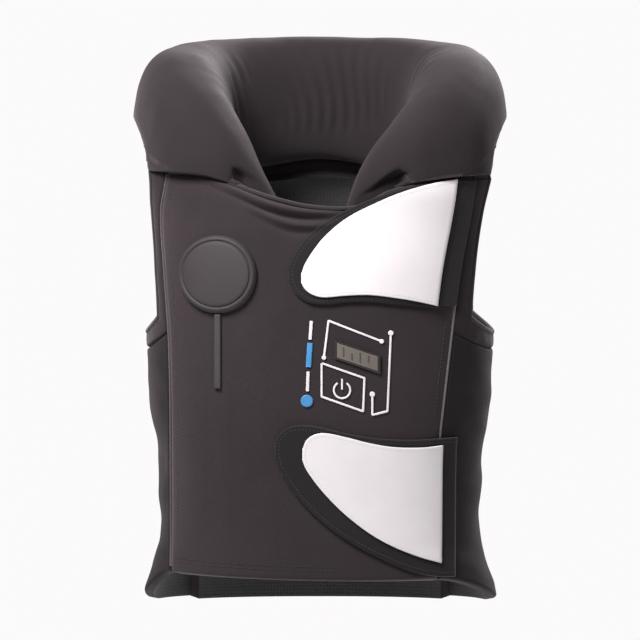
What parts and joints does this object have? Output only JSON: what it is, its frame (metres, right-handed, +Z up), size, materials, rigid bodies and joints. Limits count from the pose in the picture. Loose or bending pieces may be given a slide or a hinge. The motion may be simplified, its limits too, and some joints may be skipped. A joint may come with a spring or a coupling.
{
  "type": "racing airbag vest",
  "caption": "Padded airbag vest with an inflated horseshoe collar, wrap-over closing flaps with coated patches, a round valve cover and open armholes, in worn form.",
  "frame": {"origin": "midway between the undersides of the two shoulder yokes, where the vest sits on the shoulders", "axes": "+Z up along the wearer's body, -Y the way the wearer faces, +X the wearer's left"},
  "size_m": [0.3462, 0.2728, 0.526],
  "materials": {
    "stretch_fabric": "matte charcoal stretch knit",
    "side_fabric": "matte black stretch knit",
    "collar_fabric": "matte charcoal stretch knit over an inflated bladder",
    "flap_fabric": "matte black brushed laminate",
    "anchor_fabric": "matte dark elastic webbing",
    "coated_patch": "smooth white coated fabric",
    "valve_rubber": "soft matte moulded foam and rubber",
    "display_plastic": "smoked clear window over a grey display",
    "print": "flexible white print",
    "print_blue": "flexible blue print"
  },
  "bodies": {
    "root": {"front_panel": "stretch_fabric", "back_panel": "stretch_fabric", "side_panel_right": "side_fabric", "side_panel_left": "side_fabric", "yoke_right": "collar_fabric", "yoke_left": "collar_fabric", "armhole_band_right": "collar_fabric", "armhole_band_left": "collar_fabric", "collar": "collar_fabric", "upper_flap": "flap_fabric", "upper_flap_patch": "coated_patch", "upper_flap_anchor": "anchor_fabric", "lower_flap": "flap_fabric", "lower_flap_patch": "coated_patch", "valve_cover": "valve_rubber", "cover_strip": "valve_rubber", "display_window": "display_plastic"}
  },
  "joints": []
}
